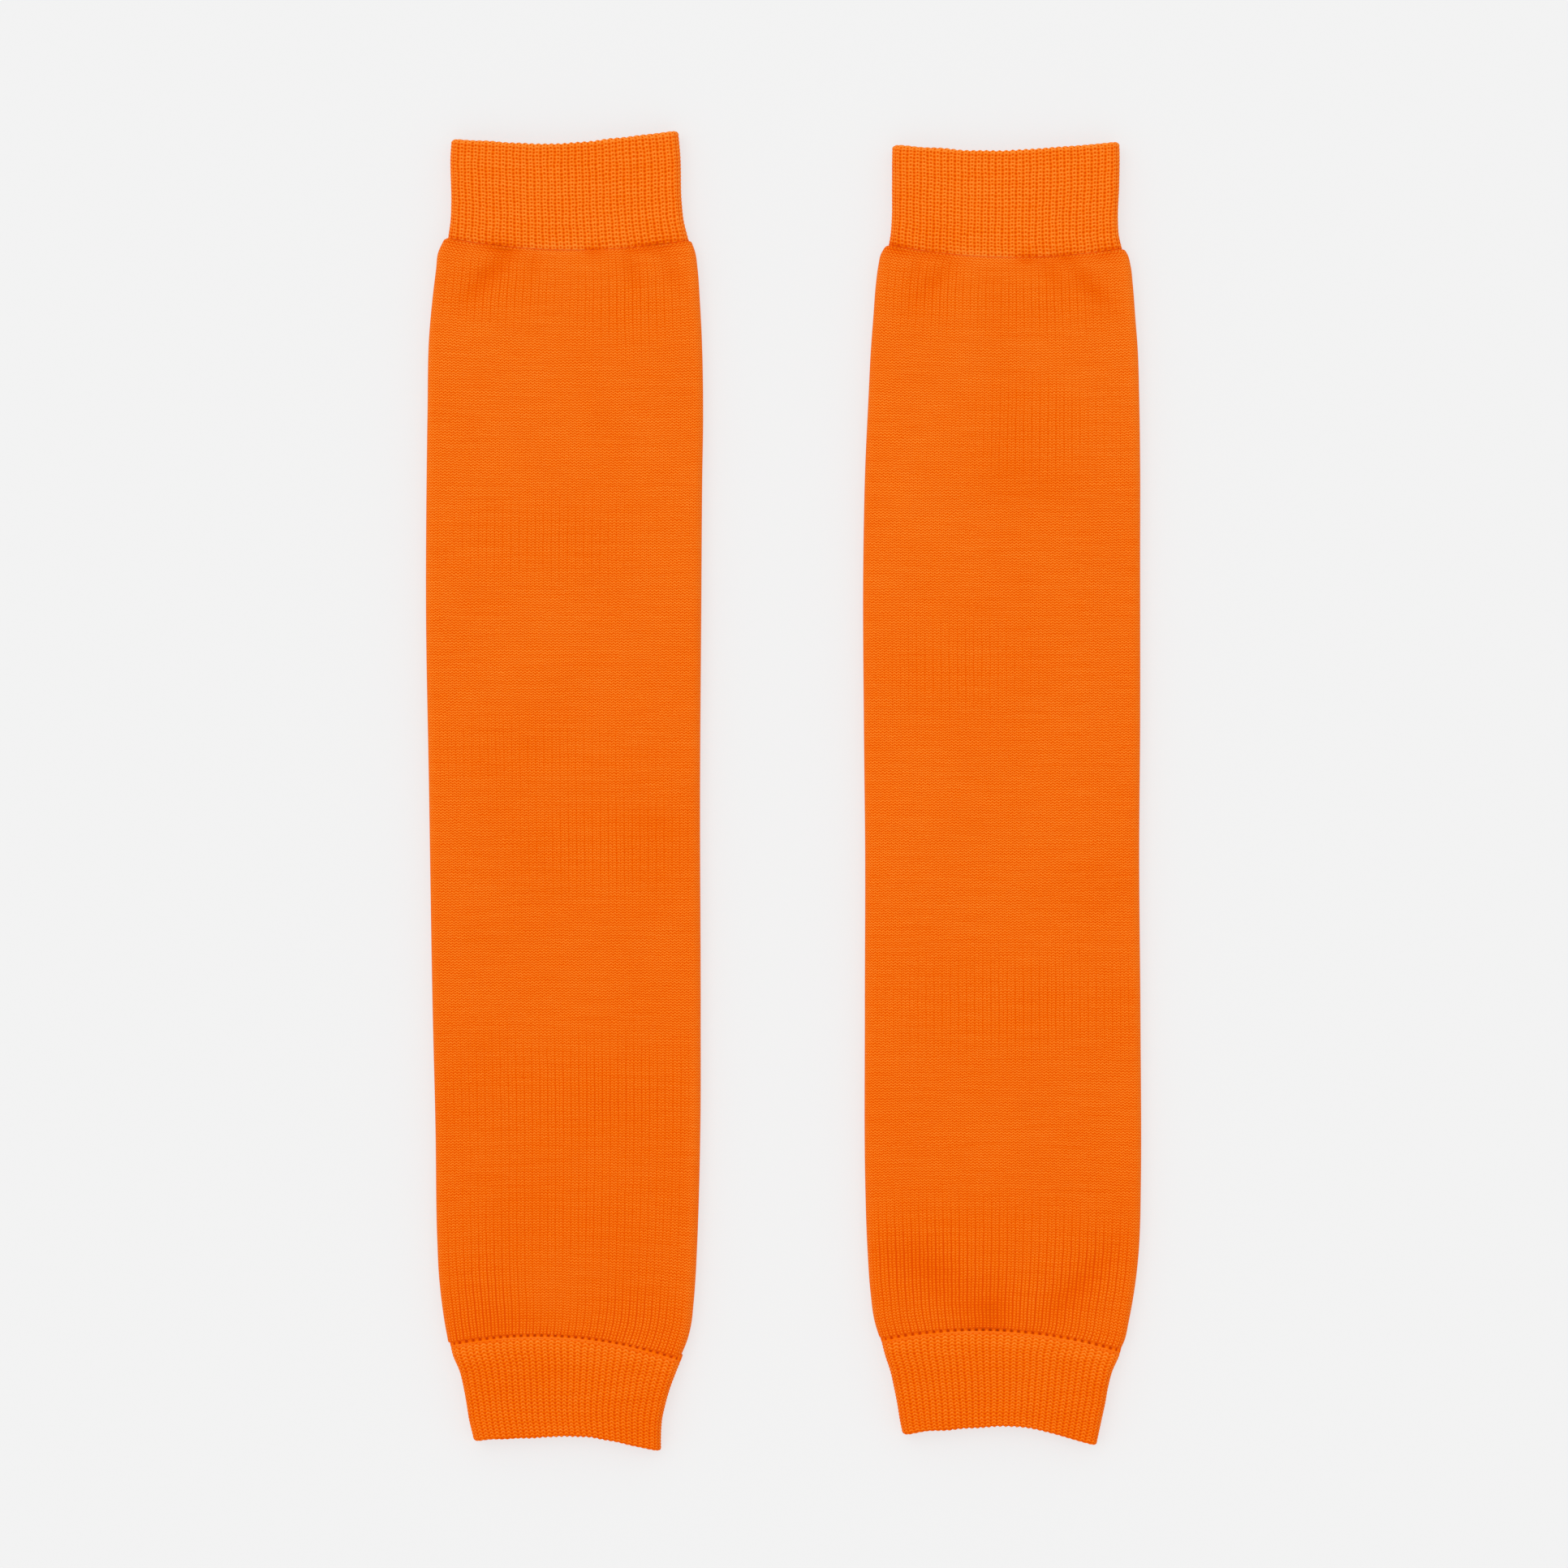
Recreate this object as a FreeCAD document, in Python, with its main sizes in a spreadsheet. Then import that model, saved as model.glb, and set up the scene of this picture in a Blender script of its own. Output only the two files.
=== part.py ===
import FreeCAD, Part
import os

import Sketcher

# A pair of knitted leg sleeves, lying flat side by side on a table.
# Frame: millimetres, +X to the right, +Y towards the upper cuffs, +Z up, origin in the middle of the
# pair on the table. Each sleeve is one hollow tube, open at both ends: a plain-knit leg with a turned
# rib cuff joined on at each end. A turned cuff is two plies with elastic yarns between them.

SLEEVES = ("left", "right")

# Driving sizes: name, value in millimetres (or a plain count), meaning.
SIZES = [
    ("sleeve_spacing", 142.8, "between the centre lines of the two sleeves"),
    ("leg_width", 90.0, "flat width of the leg, at its widest"),
    ("top_shoulder", 2.0, "how much wider the leg is than the upper cuff where they meet"),
    ("foot_shoulder", 2.4, "how much wider the leg is than the ankle cuff where they meet"),
    ("upper_taper", 64.0, "length of leg that widens below the upper cuff"),
    ("ankle_taper", 48.0, "length of leg that narrows above the ankle cuff"),
    ("upper_seam_width", 77.0, "flat width of the upper cuff at its joining course"),
    ("top_width", 73.0, "flat width of the upper cuff at its turned edge"),
    ("ankle_seam_width", 75.2, "flat width of the ankle cuff at its joining course"),
    ("hem_width", 62.0, "flat width of the ankle cuff at its turned edge"),
    ("seam_sag", 3.6, "dip of the upper joining course between its ends"),
    ("top_sag", 2.4, "dip of the upper turned edge between its corners"),
    ("ankle_sag", 5.2, "rise of the ankle joining course between its ends"),
    ("hem_sag", 3.4, "rise of the ankle turned edge between its corners"),
    ("leg_ply", 1.1, "thickness of the plain knit"),
    ("leg_opening", 5.2, "height of the hollow inside the leg"),
    ("cuff_ply", 0.8, "thickness of one ply of rib"),
    ("cuff_opening", 4.2, "height of the hollow inside a cuff"),
    ("elastic_thickness", 0.4, "thickness of an elastic yarn"),
    ("yarn_clearance", 0.05, "between an elastic yarn and the plies beside it"),
    ("course_height", 1.1, "length of a joining course along the sleeve"),
    ("course_inset", 0.35, "how far a joining course is sunk below the leg's surface"),
    ("course_gap", 0.1, "between the end of the leg and a joining course"),
    ("fold_gap", 0.3, "between a joining course and the cuff that folds at it"),
    ("side_band", 0.05, "half of the flat band left at a rounded side"),
    ("elastic_margin", 3.0, "between the end yarns and the turned edge or the seam's ends"),
    ("upper_yarns", 8, "elastic yarns in the upper cuff"),
    ("ankle_yarns", 6, "elastic yarns in the ankle cuff"),
    ("left_middle", -1.2, "place of the middle of the left leg along Y"),
    ("left_leg_length", 354.4, "left leg between its joining courses, on the centre line"),
    ("left_narrowing", 3.0, "how much narrower the left leg is above its ankle taper"),
    ("left_upper_length", 34.7, "left upper cuff, on the centre line"),
    ("left_ankle_length", 32.0, "left ankle cuff, on the centre line"),
    ("left_seam_tilt", 0.4, "how much higher the right end of the upper joining course lies"),
    ("left_top_tilt", 3.1, "how much higher the right corner of the upper edge lies"),
    ("left_ankle_tilt", -5.0, "how much higher the right end of the ankle joining course lies"),
    ("left_hem_tilt", -2.6, "how much higher the right corner of the ankle edge lies"),
    ("right_middle", -1.4, "place of the middle of the right leg along Y"),
    ("right_leg_length", 350.0, "right leg between its joining courses, on the centre line"),
    ("right_narrowing", 0.4, "how much narrower the right leg is above its ankle taper"),
    ("right_upper_length", 34.7, "right upper cuff, on the centre line"),
    ("right_ankle_length", 30.9, "right ankle cuff, on the centre line"),
    ("right_seam_tilt", -1.2, "how much higher the right end of the upper joining course lies"),
    ("right_top_tilt", 1.6, "how much higher the right corner of the upper edge lies"),
    ("right_ankle_tilt", -3.7, "how much higher the right end of the ankle joining course lies"),
    ("right_hem_tilt", -3.0, "how much higher the right corner of the ankle edge lies"),
]

# How far a cutting form runs past the open end that it cuts.
OVERRUN = 1.0


class Size:
    """A length, held both as a number and as the expression on the sheet that gives it."""

    def __init__(self, number, text):
        self.number = number
        self.text = text

    def joined(self, sign, other, number):
        text = other.text if isinstance(other, Size) else str(other)
        return Size(number, f"({self.text} {sign} {text})")

    def __add__(self, other):
        return self.joined("+", other, self.number + number_of(other))

    def __sub__(self, other):
        return self.joined("-", other, self.number - number_of(other))

    def __mul__(self, other):
        return self.joined("*", other, self.number * number_of(other))

    def __truediv__(self, other):
        return self.joined("/", other, self.number / number_of(other))

    def __neg__(self):
        return Size(-self.number, f"(0 - {self.text})")


def number_of(value):
    return value.number if isinstance(value, Size) else value


doc = FreeCAD.newDocument("leg_sleeves")
sheet = doc.addObject("Spreadsheet::Sheet", "sizes")
size = {}
for row, (alias, number, meaning) in enumerate(SIZES, 1):
    sheet.set(f"A{row}", alias)
    sheet.set(f"B{row}", str(number))
    sheet.set(f"C{row}", meaning)
    sheet.setAlias(f"B{row}", alias)
    size[alias] = Size(number, f"sizes.{alias}")
doc.recompute()

lining_gap = size["elastic_thickness"] + size["yarn_clearance"] * 2
cuff_wall = size["cuff_ply"] * 2 + lining_gap
cuff_thickness = size["cuff_opening"] + cuff_wall * 2
leg_thickness = size["leg_opening"] + size["leg_ply"] * 2
none = Size(0, "0")


class End:
    """One end of a flat tube: an arc across it that sags in the middle, and may tilt."""

    def __init__(self, width, middle, sag, tilt):
        self.half = width / 2
        self.middle = middle
        self.sag = sag
        self.tilt = tilt

    def height(self, x):
        """Where the arc lies along the sleeve, at a place across it."""
        share = x / self.half
        return self.middle + self.sag * share * share + self.tilt / 2 * share

    def points(self, along, half):
        """The left corner, middle and right corner of the arc, moved along the sleeve and cut at a half width."""
        return ((-half, self.height(-half) + along), (none, self.middle + along),
                (half, self.height(half) + along))

    def points_on_sides(self, other, along, inset):
        """The same three points, with both corners on straight sides to the other end, drawn in by inset."""
        corners = []
        for sign in (-1, 1):
            x, other_x = self.half * sign, other.half * sign
            lean = (other_x - x) / (other.height(other_x) - self.height(x))
            inner = x - inset * sign
            y = self.height(inner) + along
            corners.append((inner + lean * (y - self.height(x)), y))
        return corners[0], (none, self.middle + along), corners[1]


class Outline:
    """A sketch on a body's XY plane whose points are bound to sizes."""

    def __init__(self, body, name, floor):
        plane = next(f for f in body.Origin.OriginFeatures if f.Role == "XY_Plane")
        self.sketch = body.newObject("Sketcher::SketchObject", name)
        self.sketch.AttachmentSupport = [(plane, "")]
        self.sketch.MapMode = "FlatFace"
        self.sketch.setExpression("AttachmentOffset.Base.z", floor.text)

    def bind(self, kind, geometry, which, value):
        """Fixes a point's X or Y from the sketch's origin."""
        made = self.sketch.addConstraint(
            Sketcher.Constraint(kind, -1, 1, geometry, which, value.number))
        self.sketch.setExpression(f"Constraints[{made}]", value.text)

    def place(self, geometry, which, x, y):
        self.bind("DistanceX", geometry, which, x)
        self.bind("DistanceY", geometry, which, y)

    def line(self, start, end):
        """A line between two bound points."""
        made = self.sketch.addGeometry(Part.LineSegment(vector(*start), vector(*end)), False)
        self.place(made, 1, *start)
        self.place(made, 2, *end)
        return made

    def arc(self, start, through, end):
        """An arc and its two ends' numbers, in the order asked for, kept counter-clockwise for the sketch."""
        a, b, c = vector(*start), vector(*through), vector(*end)
        turns_left = (b - a).cross(c - a).z > 0
        curve = Part.Arc(a, b, c) if turns_left else Part.Arc(c, b, a)
        made = self.sketch.addGeometry(curve, False)
        return (made, 1, 2) if turns_left else (made, 2, 1)

    def across(self, left, points, right):
        """The arc through three points across an end of the tube, joined to the ends of the two sides."""
        made, first, last = self.arc(*points)
        self.sketch.addConstraint(Sketcher.Constraint("Coincident", made, first, *left))
        self.sketch.addConstraint(Sketcher.Constraint("Coincident", made, last, *right))
        through = self.sketch.addGeometry(Part.Point(vector(*points[1])), True)
        self.place(through, 1, *points[1])
        self.sketch.addConstraint(Sketcher.Constraint("PointOnObject", through, 1, made))

    def taper(self, corner, line, which, joint, far):
        """The arc from a corner that runs smoothly into a side line at its joint."""
        made, first, last = self.arc(corner, tangent_middle(corner, joint, far), joint)
        self.place(made, first, *corner)
        self.sketch.addConstraint(Sketcher.Constraint("Tangent", made, last, line, which))
        return made, first


def vector(x, y):
    return FreeCAD.Vector(number_of(x), number_of(y), 0)


def tangent_middle(corner, joint, far):
    """The middle of the arc that starts at the corner and meets the line from joint to far smoothly."""
    tip, start, beyond = vector(*corner), vector(*joint), vector(*far)
    along = (start - beyond).normalize()
    across = FreeCAD.Vector(-along.y, along.x, 0)
    chord = tip - start
    radius = chord.dot(chord) / (2 * chord.dot(across))
    centre = start + across * radius
    outward = (tip + start) / 2 - centre
    middle = centre + outward.normalize() * abs(radius)
    return middle.x, middle.y


def straight_sides(outline, upper, lower, _):
    """Straight sides, from corner to corner. Gives the left and right sides' lower and upper points."""
    found = []
    for corner in (0, 2):
        side = outline.line(lower[corner], upper[corner])
        found.append(((side, 1), (side, 2)))
    return found


def bowed_sides(outline, upper, lower, joints):
    """Sides that are straight between two tapers, each an arc from the straight stretch to its corner."""
    (high_half, high_y), (low_half, low_y) = joints
    found = []
    for corner, sign in ((0, -1), (2, 1)):
        low_joint, high_joint = (low_half * sign, low_y), (high_half * sign, high_y)
        side = outline.line(low_joint, high_joint)
        foot = outline.taper(lower[corner], side, 1, low_joint, high_joint)
        head = outline.taper(upper[corner], side, 2, high_joint, low_joint)
        found.append((foot, head))
    return found


def slab(name, upper, lower, floor, height, sides=straight_sides, joints=None):
    """A flat body: its outline padded up from the floor, with its pad."""
    body = doc.addObject("PartDesign::Body", name)
    outline = Outline(body, f"{name}_outline", floor)
    (left_low, left_high), (right_low, right_high) = sides(outline, upper, lower, joints)
    outline.across(left_low, lower, right_low)
    outline.across(left_high, upper, right_high)
    pad = body.newObject("PartDesign::Pad", f"{name}_pad")
    pad.Profile = outline.sketch
    pad.setExpression("Length", height.text)
    doc.recompute()
    return body, pad


def form(name, upper, lower, floor, height, sides=straight_sides, joints=None):
    """A flat body with rounded sides, as a flattened tube has: a slab whose long edges are rounded."""
    body, pad = slab(name, upper, lower, floor, height, sides, joints)
    rounding = body.newObject("PartDesign::Fillet", f"{name}_rounding")
    rounding.Base = (pad, side_edges(pad.Shape))
    rounding.setExpression("Radius", (height / 2 - size["side_band"]).text)
    doc.recompute()
    return body


def side_edges(shape):
    """The level edges that stay on one side of the centre line."""
    names = []
    for number, edge in enumerate(shape.Edges, 1):
        start, end = (v.Point for v in (edge.firstVertex(), edge.lastVertex()))
        if abs(start.z - end.z) < 1e-6 and start.x * end.x > 0:
            names.append(f"Edge{number}")
    return names


def cut(name, base, tool):
    made = doc.addObject("Part::Cut", name)
    made.Base = base
    made.Tool = tool
    return made


def lay(part, side):
    """Puts a finished piece where its sleeve lies, and names it as a node."""
    offset = size["sleeve_spacing"] / (2 if side == "right" else -2)
    part.Label = part.Name
    part.setExpression("Placement.Base.x", offset.text)
    part.setExpression("Placement.Base.y", size[f"{side}_middle"].text)
    nodes.append(part)


def leg(side):
    """The plain-knit tube, widest below its upper taper."""
    away, half_length = size["course_height"] + size["course_gap"], size[f"{side}_leg_length"] / 2

    def tube_form(part, inset, overrun, height):
        top, foot = upper_end[side], ankle_end[side]
        upper = top.points(overrun - away, top.half + size["top_shoulder"] / 2 - inset)
        lower = foot.points(away - overrun, foot.half + size["foot_shoulder"] / 2 - inset)
        half = size["leg_width"] / 2 - inset
        joints = ((half, half_length - size["upper_taper"]),
                  (half - size[f"{side}_narrowing"] / 2, size["ankle_taper"] - half_length))
        return form(f"{side}_leg_{part}", upper, lower, inset, height, bowed_sides, joints)

    outside = tube_form("outside", none, none, leg_thickness)
    hollow = tube_form("hollow", size["leg_ply"], none + OVERRUN, size["leg_opening"])
    lay(cut(f"{side}_leg_tube", outside, hollow), side)


def joining_course(side, where, end, outward):
    """The course of loops that joins a cuff to the leg: a narrow ring, sunk between the two.

    A longer flattened tube is made first, and the ring is the slice of it between two like arcs.
    """
    name = f"{side}_{where}"
    inset, ply, spare = size["course_inset"], size["leg_ply"], leg_thickness
    half = end.half - inset
    outside = form(f"{name}_course_outside", end.points(spare, half), end.points(-spare, half),
                   inset, leg_thickness - inset * 2)
    half, spare = end.half - ply, spare + OVERRUN
    hollow = form(f"{name}_course_hollow", end.points(spare, half), end.points(-spare, half),
                  ply, size["leg_opening"])
    tube = cut(f"{name}_course_tube", outside, hollow)
    near = end.points(size["course_height"] * -outward, end.half + OVERRUN)
    far = end.points(none, end.half + OVERRUN)
    upper, lower = (far, near) if outward > 0 else (near, far)
    slice_body, _ = slab(f"{name}_course_slice", upper, lower, none, leg_thickness)
    ring = doc.addObject("Part::Common", f"{name}_joining_course")
    ring.Base = tube
    ring.Tool = slice_body
    lay(ring, side)


def cuff(side, where, seam, edge, outward, yarns):
    """A turned rib cuff: an outer ply that turns in at its edge, an inner ply, and elastic between them."""
    def shell(part, inset, at_seam, at_edge):
        """A form drawn in by inset, and moved outward along the sleeve at each end."""
        near = seam.points_on_sides(edge, at_seam * outward, inset)
        far = edge.points_on_sides(seam, at_edge * outward, inset)
        upper, lower = (far, near) if outward > 0 else (near, far)
        return form(f"{side}_{where}_{part}", upper, lower, inset, cuff_thickness - inset * 2)

    ply, gap = size["cuff_ply"], size["yarn_clearance"]
    start = size["fold_gap"]
    outside = shell("cuff_outside", none, start, none)
    lining_space = shell("cuff_lining_space", ply, start - OVERRUN, -ply)
    opening = shell("cuff_opening", cuff_wall, start - OVERRUN, none + OVERRUN)
    walls = cut(f"{side}_{where}_cuff_walls", outside, lining_space)
    lay(cut(f"{side}_{where}_cuff_outer", walls, opening), side)

    lining = shell("cuff_lining", ply + lining_gap, start, -ply - gap)
    lay(cut(f"{side}_{where}_cuff_inner", lining, opening), side)

    yarn = size["elastic_thickness"]
    sleeve = shell("elastic_outside", ply + gap, start, -ply - gap)
    core = shell("elastic_core", ply + gap + yarn, start - OVERRUN, none + OVERRUN)
    tube = cut(f"{side}_{where}_elastic_tube", sleeve, core)
    lay(elastic(side, where, tube, seam, edge, outward, yarns), side)


def elastic(side, where, tube, seam, edge, outward, yarns):
    """Elastic yarns, evenly spaced around the cuff: the rings that thin level blanks cut from a tube."""
    yarn, margin = size["elastic_thickness"], size["elastic_margin"]
    corners = (seam.height(-seam.half), seam.height(seam.half))
    first = max(corners, key=lambda y: y.number * outward) + margin * outward
    last = edge.middle - margin * outward
    blanks = []
    for number in range(int(size[yarns].number)):
        blank = doc.addObject("Part::Box", f"{side}_{where}_yarn_blank_{number + 1}")
        place = first + (last - first) * number / (size[yarns] - 1) - yarn / 2
        width = (seam.half + edge.half) * 2
        for field, value in (("Length", width), ("Width", yarn), ("Height", cuff_thickness),
                             ("Placement.Base.x", -width / 2), ("Placement.Base.y", place)):
            blank.setExpression(field, value.text)
        blanks.append(blank)
    stack = doc.addObject("Part::Compound", f"{side}_{where}_yarn_blanks")
    stack.Links = blanks
    rings = doc.addObject("Part::Common", f"{side}_{where}_cuff_elastic")
    rings.Base = tube
    rings.Tool = stack
    return rings


nodes = []
upper_end, ankle_end = {}, {}
for side in SLEEVES:
    half_length = size[f"{side}_leg_length"] / 2
    top = half_length + size[f"{side}_upper_length"]
    hem = -half_length - size[f"{side}_ankle_length"]
    upper_end[side] = End(size["upper_seam_width"], half_length, size["seam_sag"], size[f"{side}_seam_tilt"])
    ankle_end[side] = End(size["ankle_seam_width"], -half_length, -size["ankle_sag"],
                          size[f"{side}_ankle_tilt"])
    top_edge = End(size["top_width"], top, size["top_sag"], size[f"{side}_top_tilt"])
    hem_edge = End(size["hem_width"], hem, -size["hem_sag"], size[f"{side}_hem_tilt"])
    leg(side)
    joining_course(side, "upper", upper_end[side], 1)
    joining_course(side, "ankle", ankle_end[side], -1)
    cuff(side, "upper", upper_end[side], top_edge, 1, "upper_yarns")
    cuff(side, "ankle", ankle_end[side], hem_edge, -1, "ankle_yarns")

doc.recompute()
for item in doc.Objects:
    if {"Invalid", "Error"} & set(item.State):
        raise RuntimeError(f"{item.Name} failed: {item.State}")
for node in nodes:
    if node.Shape.isNull() or not node.Shape.isValid() or not node.Shape.Solids:
        raise RuntimeError(f"{node.Label} has no valid solid")

os.makedirs("parts", exist_ok=True)
for node in nodes:
    node.Shape.exportStep(f"parts/{node.Label}.step")
    print(node.Label, len(node.Shape.Solids), "solids,", round(node.Shape.Volume, 1), "mm3")
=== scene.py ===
"""A pair of knitted leg sleeves laid flat: plain-knit legs, each with a turned rib cuff at both ends."""

import math

import bpy
import numpy as np
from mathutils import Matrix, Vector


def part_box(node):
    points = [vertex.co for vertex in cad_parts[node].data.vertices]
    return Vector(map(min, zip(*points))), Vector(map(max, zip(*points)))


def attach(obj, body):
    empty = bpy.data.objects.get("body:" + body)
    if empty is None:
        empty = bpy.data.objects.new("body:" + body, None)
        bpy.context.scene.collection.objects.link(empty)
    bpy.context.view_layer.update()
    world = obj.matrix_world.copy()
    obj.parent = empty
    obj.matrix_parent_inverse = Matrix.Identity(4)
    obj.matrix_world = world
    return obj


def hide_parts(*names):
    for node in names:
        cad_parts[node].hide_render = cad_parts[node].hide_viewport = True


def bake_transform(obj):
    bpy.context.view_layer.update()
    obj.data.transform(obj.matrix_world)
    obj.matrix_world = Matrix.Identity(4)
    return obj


bl_info = {
    "name": "Knitted leg sleeves",
    "version": (1, 0, 0),
    "blender": (4, 5, 0),
    "location": "3D View > Sidebar > Leg sleeves",
    "description": "Builds a pair of footless knitted leg sleeves around their measured frame",
    "category": "Add Mesh",
}

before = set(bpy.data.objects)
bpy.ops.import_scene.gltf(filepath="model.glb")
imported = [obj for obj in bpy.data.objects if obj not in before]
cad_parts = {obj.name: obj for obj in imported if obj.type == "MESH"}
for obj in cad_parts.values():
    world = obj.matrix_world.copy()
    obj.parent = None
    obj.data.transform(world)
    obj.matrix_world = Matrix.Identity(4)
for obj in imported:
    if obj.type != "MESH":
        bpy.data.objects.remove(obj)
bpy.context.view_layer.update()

MM = 0.001
SIDES = ("left", "right")
ENDS = ("upper", "ankle")
OUTWARD = {"upper": 1, "ankle": -1}
CENTRE = {side: sum(corner.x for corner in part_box(f"{side}_leg_tube")) / 2 for side in SIDES}
LEG_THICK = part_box("left_leg_tube")[1].z
CUFF_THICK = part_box("left_upper_cuff_outer")[1].z

# The arc across each end of each piece of fabric: place of its middle along the sleeve, how far its ends
# stand out from its middle, how much higher its right end lies, the half width where it is drawn, and the
# height of the ripple along it. In mm, but for the place of a crest of that ripple, from -1 to 1 across.
# "top" and "seam" are the turned edge and the joining course of the upper cuff, and "hem" and "ankle" those
# of the ankle cuff.
ARCS = {
    "left": {
        "top": (211.1, 2.6, 3.0, 36.8, 0.25, 0.5), "seam": (176.0, 3.6, -0.7, 38.8, 0.0, 0.0),
        "ankle": (-178.4, -5.2, -5.0, 37.4, 0.0, 0.0), "hem": (-211.2, -3.1, -2.7, 31.0, 0.35, 0.2),
    },
    "right": {
        "top": (208.75, 2.15, 1.3, 36.6, 0.22, 0.5), "seam": (173.6, 3.6, -1.2, 38.4, 0.0, 0.0),
        "ankle": (-176.4, -5.0, -3.7, 38.2, 0.0, 0.0), "hem": (-208.0, -4.4, -2.7, 31.2, 0.5, 0.2),
    },
}

# The distance between two crests of that ripple, where a half width is 1.
RIPPLE_LENGTH = 1.2

# The outline of each piece lying flat: place along the sleeve, and how far the left and right sides stand
# from the sleeve's centre line. In mm, from the ankle end upwards.
OUTLINES = {
    "left": {
        "leg": ((-186.5, 37.0, 37.0), (-179.5, 37.9, 39.9), (-174.0, 38.9, 41.2), (-168.5, 39.7, 41.8),
                (-158.0, 40.8, 42.6), (-147.5, 41.3, 43.1), (-110.0, 41.9, 44.1), (-73.0, 42.8, 44.2),
                (0.0, 44.0, 44.0), (60.0, 45.0, 44.4), (101.0, 44.8, 44.7), (123.0, 44.5, 45.0),
                (149.0, 43.9, 44.5), (160.0, 42.9, 43.9), (170.0, 41.7, 43.2), (175.5, 41.0, 42.4),
                (179.5, 39.2, 41.0)),
        "upper": ((178.5, 38.1, 40.6), (181.0, 37.7, 39.9), (186.0, 37.0, 38.7), (191.5, 36.8, 38.1),
                  (207.5, 37.0, 37.6), (215.0, 36.4, 36.9)),
        "ankle": ((-215.0, 28.9, 31.3), (-211.0, 29.7, 31.3), (-205.5, 31.0, 31.7), (-200.5, 31.8, 32.8),
                  (-195.0, 32.8, 34.4), (-190.0, 34.0, 36.3), (-184.5, 36.3, 38.4), (-180.0, 37.3, 39.3)),
    },
    "right": {
        "leg": ((-184.0, 38.2, 37.9), (-179.5, 39.5, 39.9), (-174.0, 41.2, 41.1), (-163.5, 42.7, 43.0),
                (-152.5, 43.5, 44.3), (-142.0, 44.0, 44.9), (-131.5, 44.3, 45.1), (-73.0, 44.5, 45.0),
                (-20.0, 44.4, 44.6), (20.0, 44.8, 44.9), (75.0, 45.0, 44.9), (107.0, 44.3, 44.9),
                (128.0, 43.3, 44.6), (144.0, 42.5, 44.1), (154.5, 41.7, 43.3), (165.0, 40.9, 42.5),
                (171.0, 40.1, 41.8), (175.0, 39.2, 40.7), (178.0, 37.4, 38.6)),
        "upper": ((176.0, 37.1, 39.2), (181.0, 36.2, 38.0), (186.0, 35.8, 37.7), (197.0, 35.7, 38.1),
                  (209.0, 35.6, 38.2), (214.0, 35.4, 38.0)),
        "ankle": ((-213.0, 31.6, 30.8), (-206.0, 33.1, 32.3), (-200.5, 34.0, 33.5), (-195.0, 35.1, 34.5),
                  (-190.0, 36.2, 35.8), (-184.5, 38.0, 38.2), (-179.0, 39.4, 39.3)),
    },
}

# Soft dents in the front of each leg, which also get painted shade: place across and along, half lengths
# across and along, turn in degrees and depth. In mm.
DENTS = {
    "left": ((-24.5, 168, 2.2, 8, -44, 0.9), (-10, 171, 1.5, 5, -10, 0.3), (22, 170, 2, 5, 10, 0.5),
             (35, 170, 2, 5, 25, 0.5), (14, 119, 5, 18, 23, 0.2), (28, -11, 5, 3, 0, 0.25),
             (-12, -8, 12, 12, 0, 0.12), (-22, -174, 7, 4, 0, 0.4)),
    "right": ((-22, 166, 2, 7, -44, 0.5), (-28, 170, 1.5, 5, -20, 0.4), (-3, 156, 4, 14, 0, 0.2),
              (16, 169, 2, 5, 30, 0.5), (29, 164, 2.2, 8, 40, 0.7), (12, 98, 18, 5, -8, 0.25),
              (1, 125, 4, 20, 0, 0.12), (28, -32, 9, 7, 0, 0.2), (-23, -157, 12, 4.2, -29, 0.6),
              (-5, -172, 6, 5, -35, 0.6), (-2, -166, 3, 8, 0, 0.3), (24, -162, 12, 2.8, 47, 0.6)),
}

# Where the leg is drawn wide enough to open its wales, which get painted shade between them: place across and
# along, half lengths, strength.
OPENED = {
    "left": ((-26, -170, 9, 14, 1.0), (10, -100, 34, 14, 0.5), (16, -18, 22, 12, 0.4), (-6, 82, 26, 10, 0.3),
             (8, -140, 30, 12, 0.4), (-10, 12, 30, 8, 0.25), (24, -172, 12, 8, 0.8),
             (-22, 164, 13, 8, 0.5), (22, 160, 12, 10, 0.5)),
    "right": ((-27, -158, 13, 9, 1.0), (3, -169, 16, 9, 1.0), (30, -158, 10, 9, 0.9), (-10, -145, 30, 9, 0.4),
              (12, 118, 16, 12, 0.4), (-14, 40, 18, 12, 0.3), (6, -70, 32, 12, 0.4), (14, 160, 16, 7, 0.5),
              (-24, 163, 10, 8, 0.5)),
}

# Where the upper joining course is pinched into a crease, drawn only as painted shade: place across, half
# length, strength.
CREASE_SHADE = {
    "left": ((-21.5, 5.5, 1.0), (-36, 3, 0.6), (10, 3, 0.8), (30, 8, 1.0)),
    "right": ((-34, 4, 0.9), (-21, 4, 0.7), (8, 3, 0.8), (21, 4, 0.8), (34, 4, 0.9)),
}

# Where the ankle joining course's gaps get their darkest painted shade: place across, half length, strength.
DARKEST_GAP_SHADE = {
    "left": ((-9, 13, 0.4), (20, 8, 0.25)),
    "right": ((-5, 9, 0.7), (28, 6, 0.3)),
}

# Seeds of the uneven surfaces, so that they come out the same each time.
LEG_SEEDS = {"left": 11, "right": 12}
CUFF_SEEDS = {"left": {"upper": 20, "ankle": 21}, "right": {"upper": 30, "ankle": 31}}
FOLD_SEEDS = {"left": 69, "right": 70}

# Sizes of the studio: how strong the room's light and the soft lamp are, the width seen, and the place of
# the middle of the view.
ROOM_LIGHT = 0.87
LAMP_LIGHT = 0.55
VIEW_WIDTH = 511.4 * MM
VIEW_MIDDLE = (0.26 * MM, 1.85 * MM)
VIEW_HEIGHT = 6 * MM

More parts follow.
